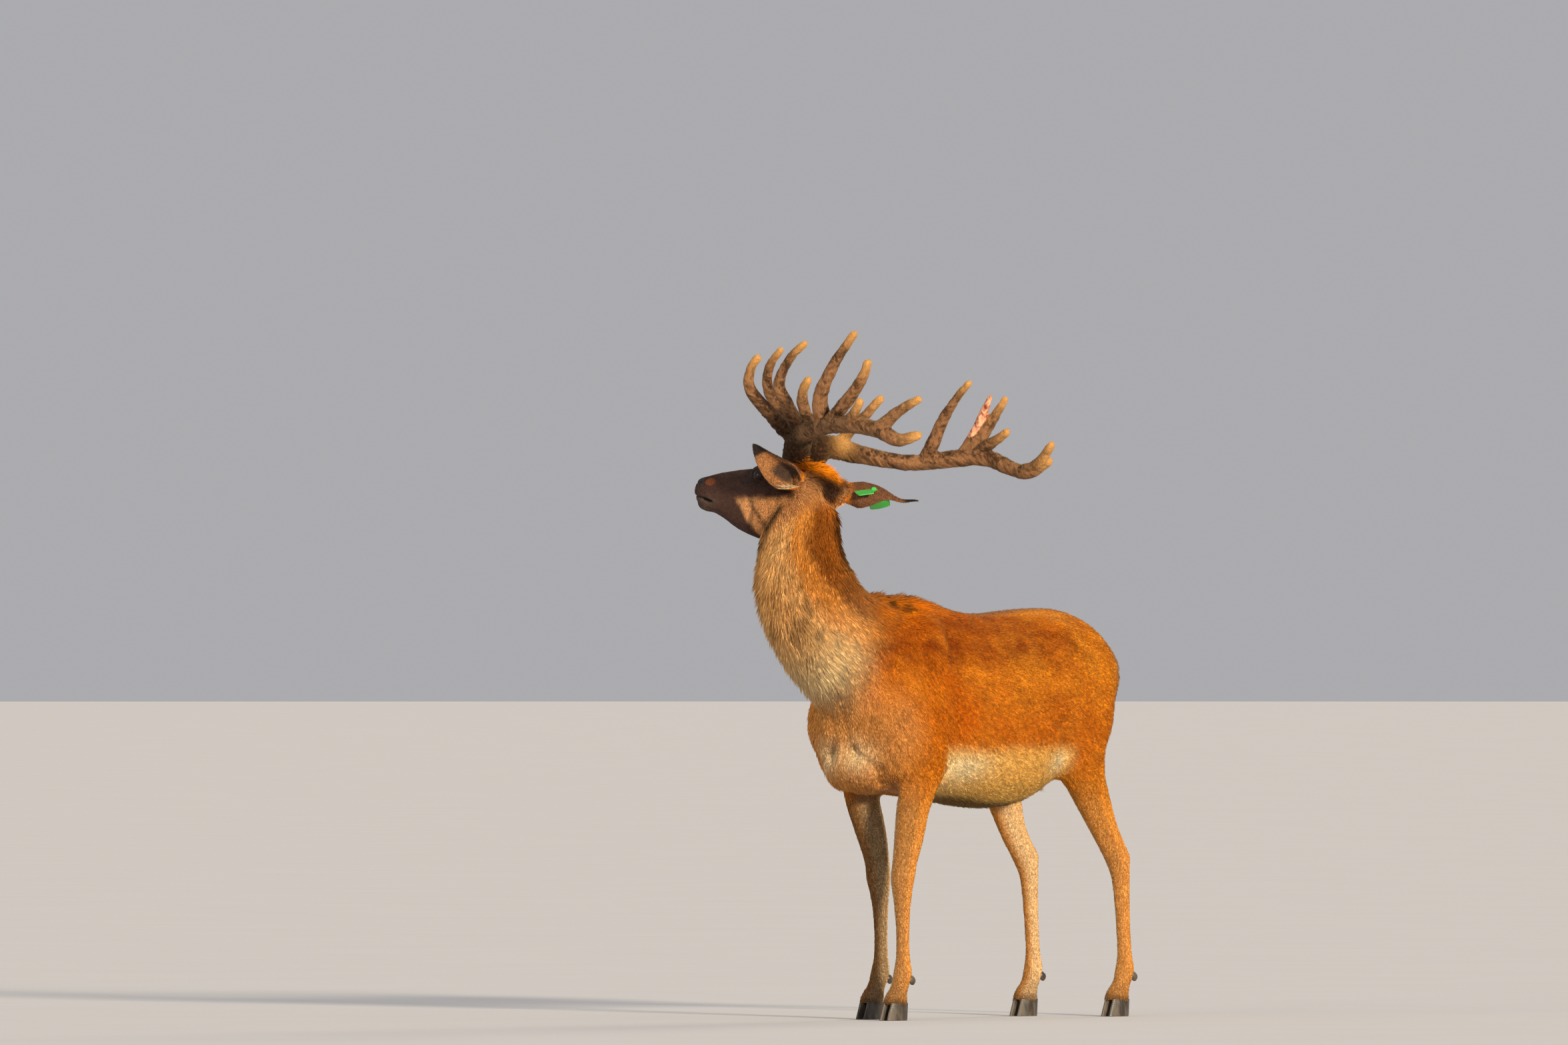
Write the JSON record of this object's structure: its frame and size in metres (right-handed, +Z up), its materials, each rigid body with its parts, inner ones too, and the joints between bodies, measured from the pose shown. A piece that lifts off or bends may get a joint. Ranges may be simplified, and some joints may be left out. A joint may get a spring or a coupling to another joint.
{
  "type": "red deer stag",
  "caption": "Life-size standing red deer stag in summer coat, head raised and turned to its right, branched antlers in velvet, flag tag in one ear.",
  "frame": {"origin": "centre of the bounding box at the level that the hooves stand on", "axes": "+Z up; the chest faces -Y and the stag's left side is +X; the head is turned to its right, towards -X"},
  "size_m": [1.0048, 1.639, 2.0149],
  "materials": {
    "body_coat": "matt",
    "neck_coat": "matt",
    "face_coat": "matt",
    "leg_coat": "matt",
    "ear_coat": "matt",
    "antler_velvet": "matt",
    "eye": "gloss",
    "hoof_horn": "satin",
    "ear_tag": "satin"
  },
  "bodies": {
    "root": {"antler_left_base": "antler_velvet", "antler_left_crown": "antler_velvet", "antler_left_middle": "antler_velvet", "antler_right_base": "antler_velvet", "antler_right_crown": "antler_velvet", "antler_right_end": "antler_velvet", "antler_right_middle": "antler_velvet", "dewclaw_fore_left_inner": "hoof_horn", "dewclaw_fore_left_outer": "hoof_horn", "dewclaw_fore_right_inner": "hoof_horn", "dewclaw_fore_right_outer": "hoof_horn", "dewclaw_hind_left_inner": "hoof_horn", "dewclaw_hind_left_outer": "hoof_horn", "dewclaw_hind_right_inner": "hoof_horn", "dewclaw_hind_right_outer": "hoof_horn", "ear_left": "ear_coat", "ear_right": "ear_coat", "eye_left": "eye", "eye_right": "eye", "foreleg_left_cannon": "leg_coat", "foreleg_left_pastern": "leg_coat", "foreleg_left_upper": "leg_coat", "foreleg_right_cannon": "leg_coat", "foreleg_right_pastern": "leg_coat", "foreleg_right_upper": "leg_coat", "head": "face_coat", "hindleg_left_cannon": "leg_coat", "hindleg_left_pastern": "leg_coat", "hindleg_left_upper": "leg_coat", "hindleg_right_cannon": "leg_coat", "hindleg_right_pastern": "leg_coat", "hindleg_right_upper": "leg_coat", "hoof_fore_left_inner": "hoof_horn", "hoof_fore_left_outer": "hoof_horn", "hoof_fore_right_inner": "hoof_horn", "hoof_fore_right_outer": "hoof_horn", "hoof_hind_left_inner": "hoof_horn", "hoof_hind_left_outer": "hoof_horn", "hoof_hind_right_inner": "hoof_horn", "hoof_hind_right_outer": "hoof_horn", "neck_lower": "neck_coat", "neck_upper": "neck_coat", "tag_back": "ear_tag", "tag_front": "ear_tag", "tail": "body_coat", "trunk": "body_coat"}
  },
  "joints": []
}
